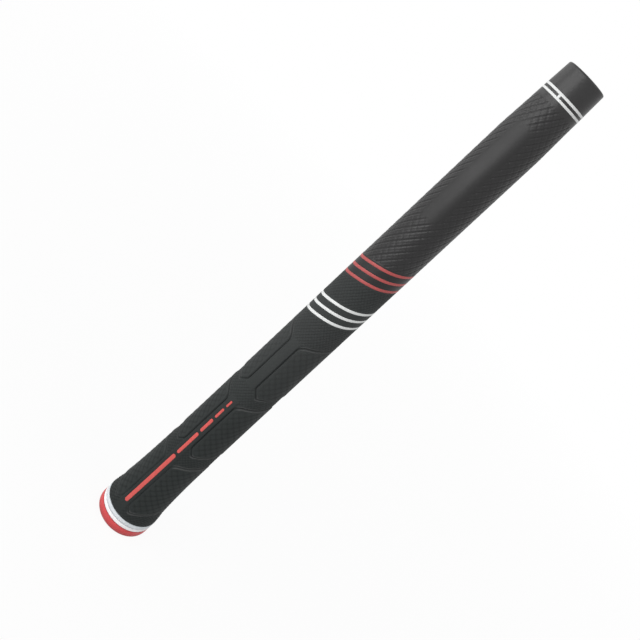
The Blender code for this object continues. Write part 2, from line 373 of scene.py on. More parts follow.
def body_radius(height, body):
    """Outer radius: a straight taper plus a flare that decays from the cap, then a cone."""
    cone_start = GRIP_LENGTH - body.cone_length
    along = (height - SLEEVE_BASE) / (cone_start - SLEEVE_BASE)
    taper = body.body_at_cap + (body.body_at_cone - body.body_at_cap) * along
    flare = (CAP_RADIUS - body.body_at_cap) * np.exp((SLEEVE_BASE - height) / body.flare_length)
    part = np.clip((height - cone_start) / body.cone_length, 0.0, 1.0)
    cone = body.body_at_cone + (body.mouth_radius - body.body_at_cone) * part
    return np.where(height < cone_start, taper + flare, cone)


def bore_radius(height, body):
    """Bore radius: straight from the cap end to the mouth."""
    along = (height - SLEEVE_BASE) / (GRIP_LENGTH - SLEEVE_BASE)
    return body.bore_at_cap + (body.bore_at_mouth - body.bore_at_cap) * along


def leaning_height(nominal, angle, radius, trim):
    """Height of a row: its own height plus weight times radius times the stripes' rise.

    The rise is the tilt's tangent times the cosine of the turn from the rise azimuth, plus
    a small share of the cosine of three times that turn. The weight is none at the grip's
    ends and all of the slant between them.
    """
    turn = angle - trim.rise_azimuth
    rise = np.cos(turn) + trim.stripe_bend * np.cos(3.0 * turn)
    weight = window(*LEAN, nominal)
    return nominal + weight * math.tan(trim.stripe_tilt) * rise * radius


def ring_heights(trim):
    """Middles of the two rings near the mouth."""
    middle = (MOUTH_BAND[0] + MOUTH_BAND[1]) / 2
    return middle - trim.ring_pitch / 2, middle + trim.ring_pitch / 2


def stripe_half_height(trim):
    """Half of a stripe's height measured along the axis."""
    return trim.stripe_width / 2 / math.cos(trim.stripe_tilt)


# ---- moulded relief


def pad_field(height, across, pad, spine):
    """Distance inside one pad's outline, as the rounded least of six straight edges.

    The second result is 1 where the heel or the toe is the nearest edge.
    """
    start, end, back, wide = pad
    along, past, out = height - start, height - end, across - spine
    heel = (along + back - HEEL_SLOPE * (out - wide)) / math.hypot(1.0, HEEL_SLOPE)
    heel_corner = (along * wide + out * back) / math.hypot(wide, back)
    toe = (TOE_ON + TOE_SLOPE * (out - TOE_OUT) - past) / math.hypot(1.0, TOE_SLOPE)
    toe_corner = (out * TOE_ON - past * TOE_OUT) / math.hypot(TOE_ON, TOE_OUT)
    edges = [out, heel, heel_corner, toe, toe_corner, PAD_SIDE - across]
    inside = soft_least(edges, PAD_BLEND)
    return inside, 1.0 - ease(*END_NEAREST, np.minimum(heel, toe) - inside)


def dash_field(height, across):
    """Distance inside the nearest dash: half its width less the way from its middle line."""
    fields = []
    for node in DASH_NODES:
        low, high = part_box(node)
        half = (high.x - low.x) / 2
        past = np.abs(height - middle_height(node)) - (high.z - low.z) / 2 + half
        fields.append(half - np.hypot(across, np.maximum(past, 0.0)))
    return np.max(np.stack(fields), axis=0)


def lit_band(height, share, middle, width):
    """Pale share of a band of painted light: a bell curve up the axis."""
    return share * bump(height - middle, width)


def upper_relief(angle, height, nominal, body, tread, trim):
    """Offset, hollow and pale share of the upper sleeve: pads, spine, hatch and stripe lands.

    The hollow share is painted shade and the pale share is painted highlight.
    """
    turn = wrap(angle - DASH_AZIMUTH)
    across = np.abs(turn) * body_radius(height, body)
    pads = [pad_field(height, across, pad, tread.spine_half_width) for pad in PADS]
    inside = np.max(np.stack([field for field, _ in pads]), axis=0)
    lips = [end * bump(np.abs(field) - LIP_OFF, LIP_WIDTH) for field, end in pads]
    lips = np.max(np.stack(lips), axis=0)
    on_pad = ease(*PAD_TOP, inside)
    groove_share = FIRST_GROOVE + (1.0 - FIRST_GROOVE) * ease(PADS[0][1], PADS[1][0], height)
    outline = groove_share * bump(inside, tread.pad_groove_width)

    off_white = np.maximum(WHITE_HEIGHTS[0] - nominal, nominal - WHITE_HEIGHTS[-1])
    off_stripes = np.minimum(off_white, RED_HEIGHTS[0] - nominal) - stripe_half_height(trim)
    plain = 1.0 - ease(*STRIPE_LAND, off_stripes)
    plain = np.maximum(plain, 1.0 - ease(*BUTT_LAND, height - SLEEVE_BASE))

    on_spine = (1.0 - window(*SPINE_GAP, height)) * (1.0 - ease(*SPINE_END, height))
    on_spine = on_spine * (1.0 - ease(*SPINE_EDGE, across))
    fine = crossed_lines(angle, height, tread.hatch_starts, tread.hatch_rise, *UPPER_HATCH)
    fine = fine * ease(*HATCH_CLEAR, np.abs(inside)) * (1.0 - plain)
    fine = fine * (1.0 - on_pad) * (1.0 - SPINE_SMOOTH * on_spine)
    coarse = crossed_lines(angle, height, tread.tread_starts, tread.tread_rise, *PAD_TREAD)
    coarse = coarse * on_pad * ease(*PAD_TREAD_EDGE, inside)
    pocket = ease(*POCKET_EDGE, dash_field(height, across))

    sunk = window(*CHANNELS, height) * (1.0 - ease(*PAD_BEVEL, inside)) * (1.0 - on_spine)
    offset = -sunk * tread.pad_height - outline * tread.pad_groove
    offset = offset - fine * tread.hatch_depth - coarse * tread.pad_tread_depth
    offset = offset - pocket * POCKET_DEPTH + lips * LIP_HEIGHT
    # Painted shade in the pad grooves, the hatch and the pad tread
    hollow = np.maximum(GROOVE_DARK * outline**3, HATCH_DARK * fine)
    hollow = np.maximum(hollow, PAD_DARK * coarse)
    # Painted highlight on the lips, taken down on one side low on the grip
    dimmed = (turn < 0.0) * (1.0 - ease(*HIGHLIGHT_CUT_HEIGHTS, height))
    lips = lips * (1.0 - LIP_HIGHLIGHT_CUT * dimmed)
    # The pale share is painted highlight on the lips and a band of painted light
    return offset, hollow, np.maximum(lips, lit_band(height, *LIT_BAND))


def lower_relief(angle, height, nominal, body, tread, trim):
    """Offset, hollow and pale share of the lower sleeve: coarse tread, hatch and bare strip.

    The hollow share is painted shade and the pale share is painted highlight.
    """
    across = np.abs(wrap(angle - DASH_AZIMUTH)) * body_radius(height, body)
    off_stripes = nominal - RED_HEIGHTS[-1] - stripe_half_height(trim)
    after_stripes = ease(*STRIPE_LAND, off_stripes)
    before_collar = 1.0 - ease(*COLLAR_LAND, height - COLLAR_START)
    edges = [
        tread.strip_half_width - across,
        STRIP_END_SLOPE * (height - tread.strip_low),
        STRIP_END_SLOPE * (tread.strip_high - height),
    ]
    bare = ease(*STRIP_EDGE, soft_least(edges, STRIP_BLEND))
    share = after_stripes * before_collar * (1.0 - bare)
    coarse = crossed_lines(angle, height, tread.tread_starts, tread.tread_rise, *LOWER_WAVES)
    core = crossed_lines(angle, height, tread.tread_starts, tread.tread_rise, *LOWER_CORES)
    fine = crossed_lines(angle, height, tread.hatch_starts, tread.hatch_rise, *LOWER_HATCH)
    offset = -share * (coarse * tread.tread_depth + core * tread.tread_core)
    offset = offset - share * fine * LOWER_DEPTH * tread.hatch_depth
    # Painted shade in the tread's grooves, and on the bare strip and smooth lands to hold down
    # their sheen
    hollow = share * np.clip(CORE_DARK * core + LOWER_DARK * fine, 0.0, 1.0)
    smooth = np.maximum(STRIP_DARK * bare, LAND_DARK * (1.0 - after_stripes))
    hollow = np.maximum(hollow, smooth)
    # Its pale share is a band of painted light near the mouth, kept off the hollows
    return offset, hollow, lit_band(height, *MOUTH_LIT_BAND) * (1.0 - hollow)


def quarter_round(distance, radius):
    """Drop of a quarter circle at an edge, by distance from that edge."""
    inside = np.clip(radius - distance, 0.0, radius)
    return radius - np.sqrt(radius * radius - inside * inside)


def groove_drop(nominal, centre, half, depth):
    """Square-walled groove: its depth where a height is within half its width of the centre."""
    return np.where(np.abs(nominal - centre) < half - WALL_SLACK, depth, 0.0)


def recess(nominal, body, trim):
    """Drop of the sleeves' square-walled grooves and rounded ends.

    The stripes' grooves have softly broken edges, and each end drops by a quarter circle.
    """
    half = stripe_half_height(trim)
    drop = np.zeros_like(nominal)
    for centre in STRIPE_HEIGHTS:
        off = np.abs(nominal - centre) - half
        drop = np.maximum(drop, groove_drop(nominal, centre, half, trim.stripe_depth))
        drop = np.maximum(drop, BREAK_DEPTH * (1.0 - ease(0.0, BREAK_WIDTH, off)))
    for centre in ring_heights(trim):
        drop = drop + groove_drop(nominal, centre, trim.ring_width / 2, trim.stripe_depth)
    drop = drop + quarter_round(nominal - SLEEVE_BASE, body.butt_rounding)
    return drop + quarter_round(GRIP_LENGTH - nominal, body.lip_rounding)


def groove_rows(centres, half):
    """Row heights that draw each groove's two walls and broken edges."""
    walls = [(centre - half + WALL_STEPS, centre + half - WALL_STEPS) for centre in centres]
    return np.ravel(walls)


def set_rows(trim):
    """Row heights of all grooves, of the stripes' middles and of the rounded ends."""
    stripes = groove_rows(STRIPE_HEIGHTS, stripe_half_height(trim))
    rings = groove_rows(ring_heights(trim), trim.ring_width / 2)
    ends = np.append(SLEEVE_BASE + EDGE_STEPS, GRIP_LENGTH - LIP_STEPS)
    return np.concatenate([stripes, STRIPE_HEIGHTS, rings, ends])


def row_heights(low, high, step, extra):
    """Even rows from low to high, with the extra rows between them and near doubles dropped."""
    even = np.linspace(low, high, int(round((high - low) / step)) + 1)
    extra = extra[(extra > low + SAME_HEIGHT) & (extra < high - SAME_HEIGHT)]
    near = np.abs(even[:, None] - extra[None, :]).min(axis=1) if extra.size else np.inf
    keep = (near > ROW_CLEARANCE * step) | (np.arange(even.size) % (even.size - 1) == 0)
    return np.sort(np.concatenate([even[keep], extra]))


# ---- meshes


def spin_angles(columns):
    """Even angles once round the axis."""
    return np.arange(columns) * (2 * math.pi / columns)


def turned(radius, height, angle):
    """Points from radius, height and angle arrays."""
    radius, height, angle = np.broadcast_arrays(radius, height, angle)
    return np.stack([radius * np.cos(angle), radius * np.sin(angle), height], axis=-1)


def grid_map(points, bands, closed_rows):
    """Flat map of a grid's faces: across is the column's share of the turn.

    Up is the share of the path over the rows, measured along their mean spacing. End
    faces are small discs above the grid's own area.
    """
    columns = points.shape[1]
    steps = np.linalg.norm(np.roll(points, -1, axis=0) - points, axis=-1).mean(axis=1)[:bands]
    path = np.concatenate([[0.0], np.cumsum(np.maximum(steps, 1e-6))])
    path = path / path[-1] * (1.0 if closed_rows else GRID_SHARE)
    column, band = np.meshgrid(np.arange(columns), np.arange(bands))
    across = (column[..., None] + np.array([0, 1, 1, 0])) / columns
    up = path[band[..., None] + np.array([0, 0, 1, 1])]
    quads = np.stack([across, up], axis=-1).reshape(-1, 2)
    if closed_rows:
        return quads
    turn = spin_angles(columns)
    disc = DISC_RADIUS * np.stack([np.cos(turn), np.sin(turn)], axis=-1)
    return np.concatenate([quads, *(disc + place for place in DISC_PLACES)])


def grid_mesh(name, points, fields, closed_rows):
    """Mesh over a grid that is closed round its columns, and over its rows or by end faces.

    Every four neighbouring points make one face.
    """
    rows, columns = points.shape[:2]
    index = np.arange(rows * columns).reshape(rows, columns)
    right = np.roll(index, -1, axis=1)
    bands = rows if closed_rows else rows - 1
    above, above_right = np.roll(index, -1, axis=0), np.roll(right, -1, axis=0)
    quads = np.stack([index, right, above_right, above], axis=-1)[:bands].reshape(-1, 4)
    corners = quads.reshape(-1)
    starts = np.arange(len(quads)) * 4
    if not closed_rows:
        ends = np.concatenate([index[0, ::-1], index[-1]])
        starts = np.concatenate([starts, len(corners) + np.array([0, columns])])
        corners = np.concatenate([corners, ends])

    mesh = bpy.data.meshes.new(name)
    mesh.vertices.add(rows * columns)
    mesh.vertices.foreach_set("co", points.reshape(-1).astype(np.float32))
    mesh.loops.add(len(corners))
    mesh.loops.foreach_set("vertex_index", corners.astype(np.int32))
    mesh.polygons.add(len(starts))
    mesh.polygons.foreach_set("loop_start", starts.astype(np.int32))
    mesh.update(calc_edges=True)
    bake_map = mesh.uv_layers.new(name="OFBake")
    flat = grid_map(points, bands, closed_rows)
    bake_map.data.foreach_set("uv", flat.reshape(-1).astype(np.float32))
    for label, values in fields.items():
        layer = mesh.attributes.new(label, "FLOAT", "POINT")
        layer.data.foreach_set("value", values.reshape(-1).astype(np.float32))
    mesh.shade_smooth()
    mesh.set_sharp_from_angle(angle=SHARP_ANGLE)
    return mesh


def add_object(name, data):
    """New object in the scene, for a mesh, lamp or camera."""
    item = bpy.data.objects.new(name, data)
    bpy.context.scene.collection.objects.link(item)
    return item


def add_piece(name, grid, closed_rows, material, nodes):
    """Piece over a grid's points and fields: rides on the grip and stands for its CAD nodes."""
    mesh = grid_mesh(name, *grid, closed_rows)
    mesh.materials.append(material)
    piece = add_object(name, mesh)
    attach(piece, "root")
    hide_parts(*nodes)


def sleeve_grid(rows, relief, settings):
    """One length of sleeve: relief on the outside up the rows, then the bore back down.

    Radius is the body's radius plus the relief, less the grooves and the rounded ends. Rows
    lean with the stripes between the two plain ends.
    """
    body, tread, trim = settings
    angle = spin_angles(COLUMNS)[None, :]
    nominal = rows[:, None]
    height = leaning_height(nominal, angle, body_radius(nominal, body), trim)
    offset, hollow, pale = relief(angle, height, nominal, body, tread, trim)
    offset = offset - recess(nominal, body, trim)
    outer = turned(body_radius(height, body) + offset, height, angle)

    down = np.linspace(rows[-1], rows[0], BORE_ROWS)[:, None]
    bore = bore_radius(down, body)
    inner = turned(bore, leaning_height(down, angle, bore, trim), angle)
    plain = np.zeros(inner.shape[:2])
    # hollow carries painted shade in the grooves, on the smooth strip and lands and down the bore;
    # pale carries painted highlight
    fields = {
        "hollow": np.concatenate([hollow, plain + BORE_DARK]),
        "pale": np.concatenate([pale, plain]),
    }
    return np.concatenate([outer, inner]), fields


def add_sleeve(spans, rows_in_rise, relief, settings, material, node):
    """Builds a sleeve's lengths, each given as its name, low end and high end."""
    _, tread, trim = settings
    for name, low, high in spans:
        rows = row_heights(low, high, tread.tread_rise / rows_in_rise, set_rows(trim))
        grid = sleeve_grid(rows, relief, settings)
        add_piece(name, grid, True, material, [node])


def crowned(part, lift, crown, drop, steepness):
    """Offset across an inlay, by the part of the half width off its middle.

    It is lift plus crown times one minus the part's square, less the drop times the part to
    the power named steepness.
    """
    return lift + crown * (1.0 - part * part) - drop * np.abs(part) ** steepness


def ring_grid(centre, half, settings, lift, sink):
    """Inlaid ring and its edge shares: a crowned band on the body, closed at a sunk base."""
    body, _, trim = settings
    offset = crowned(RING_PARTS, lift, trim.crown, *RING_DROP)
    offset[[0, -1]] = -sink
    nominal = (centre + RING_PARTS * half)[:, None]
    angle = spin_angles(COLUMNS)[None, :]
    height = leaning_height(nominal, angle, body_radius(nominal, body), trim)
    points = turned(body_radius(height, body) + offset[:, None], height, angle)
    return points, {"edge": np.abs(RING_PARTS)[:, None] + np.zeros_like(angle)}


def strip_grid(low, high, half, lift, sink, crown, round_end, body):
    """Inlaid strip on the dash line and its edge shares: a crowned section up the axis.

    Its half width follows a rounded end: the full half width times the square root of one
    minus the square of the part into the end.
    """
    reach = (high - low) / 2
    bend = np.sin(np.linspace(0.0, STRIP_END_TURN, STRIP_ENDS))
    ends = reach - round_end + round_end * bend
    straight = np.linspace(-ends[0], ends[0], max(STRIP_ROWS, int(reach / STRIP_STEP)))
    along = np.concatenate([-ends[:0:-1], straight, ends[1:]])
    into = np.clip((np.abs(along) - (reach - round_end)) / round_end, 0.0, 1.0)
    width = half * np.sqrt(1.0 - into * into)
    offset = crowned(STRIP_PARTS, lift, crown, *STRIP_DROP)
    offset[-2:] = -sink
    height = ((low + high) / 2 + along)[:, None]
    radius = body_radius(height, body)
    turn = DASH_AZIMUTH + width[:, None] * STRIP_PARTS[None, :] / radius
    points = turned(radius + offset[None, :], height, turn)
    return points, {"edge": np.maximum(np.abs(STRIP_PARTS)[None, :], into[:, None])}


def arc(centre_r, centre_z, radius, start, end, count):
    """Points of a circular arc in the profile plane, angles in degrees from the radius axis."""
    turn = np.radians(np.linspace(start, end, count))
    return np.stack([centre_r + radius * np.cos(turn), centre_z + radius * np.sin(turn)], axis=-1)


def lathe_grid(profile, edge):
    """A closed profile of radius and height pairs carried once round the axis."""
    angle = spin_angles(CAP_COLUMNS)[None, :]
    points = turned(profile[:, 0, None], profile[:, 1, None], angle)
    return points, {"edge": edge[:, None] + np.zeros_like(angle)}


# ---- node groups


def new_group(name, inputs, outputs):
    """Empty shader group with its inputs and outputs: numbers, apart from the one named Vector."""
    tree = bpy.data.node_groups.new(name, "ShaderNodeTree")
    for way, labels in (("INPUT", inputs), ("OUTPUT", outputs)):
        for label in labels:
            kind = "NodeSocketVector" if label == "Vector" else "NodeSocketFloat"
            tree.interface.new_socket(name=label, in_out=way, socket_type=kind)
    enter, leave = tree.nodes.new("NodeGroupInput"), tree.nodes.new("NodeGroupOutput")
    return tree, enter.outputs, leave.inputs


def add_node(tree, kind, output, inputs, **settings):
    """New node's named output, or all of them, with its inputs fed by values or sockets."""
    node = tree.nodes.new("ShaderNode" + kind)
    for label, value in settings.items():
        setattr(node, label, value)
    for label, value in inputs.items():
        if isinstance(value, bpy.types.NodeSocket):
            tree.links.new(value, node.inputs[label])
        else:
            node.inputs[label].default_value = value
    return node.outputs[output] if output else node.outputs


def noise(tree, vector, scale, detail, roughness):
    """Noise on a vector."""
    inputs = {"Vector": vector, "Scale": scale, "Detail": detail, "Roughness": roughness}
    return add_node(tree, "TexNoise", "Fac", inputs)


def maths(tree, operation, *values):
    """Math on two or three values."""
    return add_node(tree, "Math", "Value", dict(enumerate(values)), operation=operation)


def spread(tree, value, source, target=(0.0, 1.0)):
    """Clamped straight map of a value from one pair of ends to another."""
    labels = ("Value", "From Min", "From Max", "To Min", "To Max")
    inputs = dict(zip(labels, (value, *source, *target)))
    return add_node(tree, "MapRange", "Result", inputs, clamp=True)


def mix_colour(tree, part, first, second):
    """Colour that goes from the first to the second with the part."""
    inputs = {"Factor": part, "A": first, "B": second}
    return add_node(tree, "Mix", "Result", inputs, data_type="RGBA")


def attribute(tree, name):
    """Value of one of the piece's own point attributes."""
    return add_node(tree, "Attribute", "Fac", {}, attribute_name=name)


def build_grain_group(name):
    """Moulded grain: a fine height, and a slow cloudy tone, from noise at two sizes."""
    tree, enter, leave = new_group(
        name, ("Vector", "Grain Scale", "Cloud Scale"), ("Height", "Cloud")
    )
    vector, scale = enter["Vector"], enter["Grain Scale"]
    fine = noise(tree, vector, scale, detail=3.0, roughness=0.65)
    coarse = noise(tree, vector, maths(tree, "MULTIPLY", scale, 0.31), detail=2.0, roughness=0.5)
    cloud = noise(tree, vector, enter["Cloud Scale"], detail=4.0, roughness=0.6)
    tree.links.new(maths(tree, "MULTIPLY_ADD", coarse, 0.6, fine), leave["Height"])
    tree.links.new(spread(tree, cloud, (0.30, 0.70)), leave["Cloud"])
    return tree


def build_handling_and_sheen_group(name):
    """Handling and sheen: crests rubbed pale in patches, partly from rubbing and partly as painted
    highlight, and dust that stays in the hollows.
    """
    tree, enter, leave = new_group(name, ("Vector", "Hollow"), ("Rubbed", "Dust"))
    vector, hollow = enter["Vector"], enter["Hollow"]
    patch = noise(tree, vector, scale=95.0, detail=3.0, roughness=0.6)
    patch = spread(tree, patch, (0.42, 0.68), (0.25, 1.0))
    crest = spread(tree, hollow, (0.0, 0.25), (1.0, 0.0))
    specks = noise(tree, vector, scale=1900.0, detail=3.0, roughness=0.7)
    specks = spread(tree, specks, (0.55, 0.75))
    tree.links.new(maths(tree, "MULTIPLY", patch, crest), leave["Rubbed"])
    tree.links.new(maths(tree, "MULTIPLY", specks, hollow), leave["Dust"])
    return tree


def build_film_group(name):
    """Colour film: slow tone, scuffed specks that gather at the edges, and a soft peel height."""
    tree, enter, leave = new_group(name, ("Vector", "Edge", "Wear"), ("Tone", "Worn", "Height"))
    vector = enter["Vector"]
    tone = noise(tree, vector, scale=420.0, detail=4.0, roughness=0.6)
    specks = noise(tree, vector, scale=2600.0, detail=4.0, roughness=0.7)
    peel = noise(tree, vector, scale=1500.0, detail=2.0, roughness=0.5)
    rim = spread(tree, enter["Edge"], (0.80, 1.0), (0.0, 0.16))
    level = maths(tree, "ADD", maths(tree, "ADD", specks, rim), enter["Wear"])
    tree.links.new(spread(tree, tone, (0.3, 0.7)), leave["Tone"])
    tree.links.new(spread(tree, level, (0.72, 0.80)), leave["Worn"])
    tree.links.new(peel, leave["Height"])
    return tree


GROUPS = {
    "moulded_grain": build_grain_group,
    "handling": build_handling_and_sheen_group,
    "colour_film": build_film_group,
}


def place_group(tree, name, **inputs):
    """Outputs of a shared group's node; the group is built the first time it is asked for."""
    group = bpy.data.node_groups.get(name) or GROUPS[name](name)
    inputs = {label.replace("_", " "): value for label, value in inputs.items()}
    return add_node(tree, "Group", None, inputs, node_tree=group)


def seen_rays(tree):
    """1 for the rays that see white surroundings: camera, glossy and transmission rays."""
    rays = tree.nodes.new("ShaderNodeLightPath").outputs
    seen = maths(tree, "MAXIMUM", rays["Is Camera Ray"], rays["Is Glossy Ray"])
    return maths(tree, "MAXIMUM", seen, rays["Is Transmission Ray"])


# ---- materials


def start_material(name):
    """New material with its tree, shader and Object coordinate socket."""
    material = bpy.data.materials.new(name)
    material.use_nodes = True
    tree = material.node_tree
    shader = tree.nodes["Principled BSDF"]
    vector = tree.nodes.new("ShaderNodeTexCoord").outputs["Object"]
    return material, tree, shader, vector


def scaled(tint, factor):
    """A colour made lighter or darker, with full alpha."""
    return tuple(channel * factor for channel in tint) + (1.0,)


def layered(tree, tint, tone, low, high, *layers):
    """A tint from its low to its high share with a tone, then other colours over it in turn.

    Each layer is a mask, its share and its colour.
    """
    base = mix_colour(tree, tone, scaled(tint, low), scaled(tint, high))
    for mask, share, over in layers:
        base = mix_colour(tree, maths(tree, "MULTIPLY", mask, share), base, over)
    return base


def dress(tree, shader, base, rough, gloss, height, distance, strength):
    """Links a material's base colour, roughness and bump, and sets its gloss."""
    grain = {"Height": height, "Distance": distance, "Strength": strength}
    tree.links.new(base, shader.inputs["Base Color"])
    tree.links.new(rough, shader.inputs["Roughness"])
    tree.links.new(add_node(tree, "Bump", "Normal", grain), shader.inputs["Normal"])
    shader.inputs["Specular IOR Level"].default_value = gloss


def black_rubber(name, tint, smoothest, roughest, gloss):
    """Moulded black rubber: cloudy tone, painted shade, rubbed crests, painted highlight, dust,
    grain.

    The painted shade lies in the hollows, and the painted highlight on the lips, in bands and
    partly on the rubbed crests.
    """
    material, tree, shader, vector = start_material(name)
    hollow, grey = attribute(tree, "hollow"), (sum(tint) / 3,) * 3
    grain = place_group(tree, "moulded_grain", Vector=vector, Grain_Scale=5200.0, Cloud_Scale=55.0)
    touch_and_sheen = place_group(tree, "handling", Vector=vector, Hollow=hollow)
    base = layered(
        tree, tint, grain["Cloud"], 0.93, 1.07,
        # Painted shade in the hollows, on the smooth strip and lands and down the bore
        (hollow, 0.70, scaled(tint, 0.25)),
        # Crests lighter in patches: partly scuffing, partly painted highlight
        (touch_and_sheen["Rubbed"], 0.30, scaled(tint, 1.40)),
        (touch_and_sheen["Dust"], 0.12, scaled(tint, 2.6)),
        # Painted highlight on the lips and in bands of painted light
        (attribute(tree, "pale"), 0.75, scaled(grey, 3.4)),
    )
    rough = spread(tree, grain["Cloud"], (0.0, 1.0), (roughest, smoothest))
    rough = maths(tree, "MULTIPLY_ADD", hollow, 0.12, rough)
    dress(tree, shader, base, rough, gloss, grain["Height"], distance=0.05 * MM, strength=0.55)
    return material


def coloured_rubber(name, tint, shade_and_dirt):
    """Coloured rubber: slow tone, grain, painted shade along its edges and seams, and scuffed
    specks.
    """
    material, tree, shader, vector = start_material(name)
    edge = attribute(tree, "edge")
    grain = place_group(tree, "moulded_grain", Vector=vector, Grain_Scale=3800.0, Cloud_Scale=160.0)
    film = place_group(tree, "colour_film", Vector=vector, Edge=edge, Wear=-0.06)
    base = layered(
        tree, tint, grain["Cloud"], 0.93, 1.03,
        # Painted shade along the edges and seams
        (edge, 0.35, scaled(shade_and_dirt, 1.0)),
        (film["Worn"], 0.35, scaled(shade_and_dirt, 1.0)),
    )
    rough = spread(tree, film["Tone"], (0.0, 1.0), (0.46, 0.60))
    dress(tree, shader, base, rough, 0.40, grain["Height"], distance=0.03 * MM, strength=0.4)
    return material


def inlay_paint(name, tint, under):
    """Paint in a moulded recess: slow tone, a soft peel and scuffed specks along its edges.

    A paint that is there already is used again.
    """
    if name in bpy.data.materials:
        return bpy.data.materials[name]
    material, tree, shader, vector = start_material(name)
    edge = attribute(tree, "edge")
    film = place_group(tree, "colour_film", Vector=vector, Edge=edge, Wear=0.0)
    flakes = (film["Worn"], 0.75, scaled(under, 1.5))
    base = layered(tree, tint, film["Tone"], 0.93, 1.04, flakes)
    rough = spread(tree, film["Tone"], (0.0, 1.0), (0.42, 0.54))
    rough = maths(tree, "MULTIPLY_ADD", film["Worn"], 0.15, rough)
    dress(tree, shader, base, rough, 0.40, film["Height"], distance=0.03 * MM, strength=0.35)
    return material


def floor_material(tint):
    """Pale floor that the camera sees as near white, with the grip's shadow left on it."""
    material, tree, shader, vector = start_material("stage_floor")
    patch = noise(tree, vector, scale=6.0, detail=3.0, roughness=0.5)
    tree.links.new(layered(tree, tint, patch, 0.99, 1.01), shader.inputs["Base Color"])
    shader.inputs["Roughness"].default_value = 0.9
    shader.inputs["Specular IOR Level"].default_value = 0.0
    glow = tree.nodes.new("ShaderNodeEmission")
    blend = tree.nodes.new("ShaderNodeMixShader")
    far = add_node(tree, "VectorMath", "Value", {0: vector}, operation="LENGTH")
    share = spread(tree, far, FLOOR_FADE, FLOOR_WHITE)
    tree.links.new(maths(tree, "MULTIPLY", seen_rays(tree), share), blend.inputs["Fac"])
    tree.links.new(shader.outputs["BSDF"], blend.inputs[1])
    tree.links.new(glow.outputs["Emission"], blend.inputs[2])
    tree.links.new(blend.outputs["Shader"], tree.nodes["Material Output"].inputs["Surface"])
    return material


# ---- operators


def sleeve_settings(context):
    """The three groups of sizes that shape the sleeves."""
    scene = context.scene
    return scene.grip_body, scene.grip_tread, scene.grip_trim


class GRIP_OT_upper_sleeve(Operator):
    """Upper-hand sleeve with pads, hatch and the white stripes' grooves"""

    bl_idname = "grip.upper_sleeve"
    bl_label = "Upper Sleeve"

    def execute(self, context):
        tint = context.scene.grip_colours.upper_rubber
        material = black_rubber(
            "upper_rubber_moulded", tint, smoothest=0.60, roughest=0.70, gloss=0.168
        )
        spans = (
            ("upper_sleeve_cap_end", SLEEVE_BASE, PAD_SPLITS[0]),
            ("upper_sleeve_middle", PAD_SPLITS[0], PAD_SPLITS[1]),
            ("upper_sleeve_stripe_end", PAD_SPLITS[1], WHITE_HEIGHTS[0]),
            ("upper_sleeve_band", WHITE_HEIGHTS[0], RED_HEIGHTS[0]),
        )
        add_sleeve(
            spans, UPPER_ROWS, upper_relief, sleeve_settings(context),
            material, "upper_hand_sleeve",
        )
        return {"FINISHED"}


class GRIP_OT_lower_sleeve(Operator):
    """Lower-hand sleeve with its tread, bare strip and smooth collar"""

    bl_idname = "grip.lower_sleeve"
    bl_label = "Lower Sleeve"

    def execute(self, context):
        tint = context.scene.grip_colours.lower_rubber
        material = black_rubber(
            "lower_rubber_moulded", tint, smoothest=0.34, roughest=0.42, gloss=0.345
        )
        spans = (
            ("lower_sleeve_tread_low", RED_HEIGHTS[0], TREAD_SPLITS[0]),
            ("lower_sleeve_tread_middle", TREAD_SPLITS[0], TREAD_SPLITS[1]),
            ("lower_sleeve_tread_high", TREAD_SPLITS[1], COLLAR_START),
            ("lower_sleeve_collar", COLLAR_START, GRIP_LENGTH),
        )
        add_sleeve(
            spans, LOWER_ROWS, lower_relief, sleeve_settings(context),
            material, "lower_hand_sleeve",
        )
        return {"FINISHED"}


class GRIP_OT_stripes(Operator):
    """Slanted white and red stripes set in their grooves"""

    bl_idname = "grip.stripes"
    bl_label = "Stripes"

    def execute(self, context):
        settings = sleeve_settings(context)
        trim, colours = context.scene.grip_trim, context.scene.grip_colours
        under = colours.upper_rubber
        white = inlay_paint("white_inlay_paint", colours.white_paint, under)
        red = inlay_paint("red_stripe_paint", colours.red_paint, under)
        half, sink = stripe_half_height(trim) - INLAY_PLAY, STRIPE_FILL * trim.stripe_depth
        sets = (
            (WHITE_NODES, WHITE_HEIGHTS, white, "white_paint"),
            (RED_NODES, RED_HEIGHTS, red, "red_paint"),
        )
        for nodes, heights, material, slot in sets:
            for node, centre in zip(nodes, heights):
                grid = ring_grid(centre, half, settings, lift=-0.02 * MM, sink=sink)
                add_piece(node + "_inlay", grid, True, material, [node])
        return {"FINISHED"}


class GRIP_OT_mouth_rings(Operator):
    """Two white rings near the mouth and the tick that joins them"""

    bl_idname = "grip.mouth_rings"
    bl_label = "Mouth Rings"

    def execute(self, context):
        settings = body, _, trim = sleeve_settings(context)
        colours = context.scene.grip_colours
        under = colours.lower_rubber
        white = inlay_paint("white_inlay_paint", colours.white_paint, under)
        low, high = ring_heights(trim)
        start, half = TICK_START * trim.ring_width / 2, trim.ring_width / 2 - INLAY_PLAY
        for name, centre in (("mouth_ring_inner", low), ("mouth_ring_outer", high)):
            grid = ring_grid(centre, half, settings, lift=0.02 * MM, sink=0.3 * MM)
            add_piece(name, grid, True, white, ["mouth_rings"])
        grid = strip_grid(
            low + start, high - start, trim.tick_width / 2,
            lift=0.03 * MM, sink=0.2 * MM, crown=0.02 * MM, round_end=0.05 * MM, body=body,
        )
        add_piece("mouth_tick", grid, False, white, ["mouth_rings"])
        return {"FINISHED"}


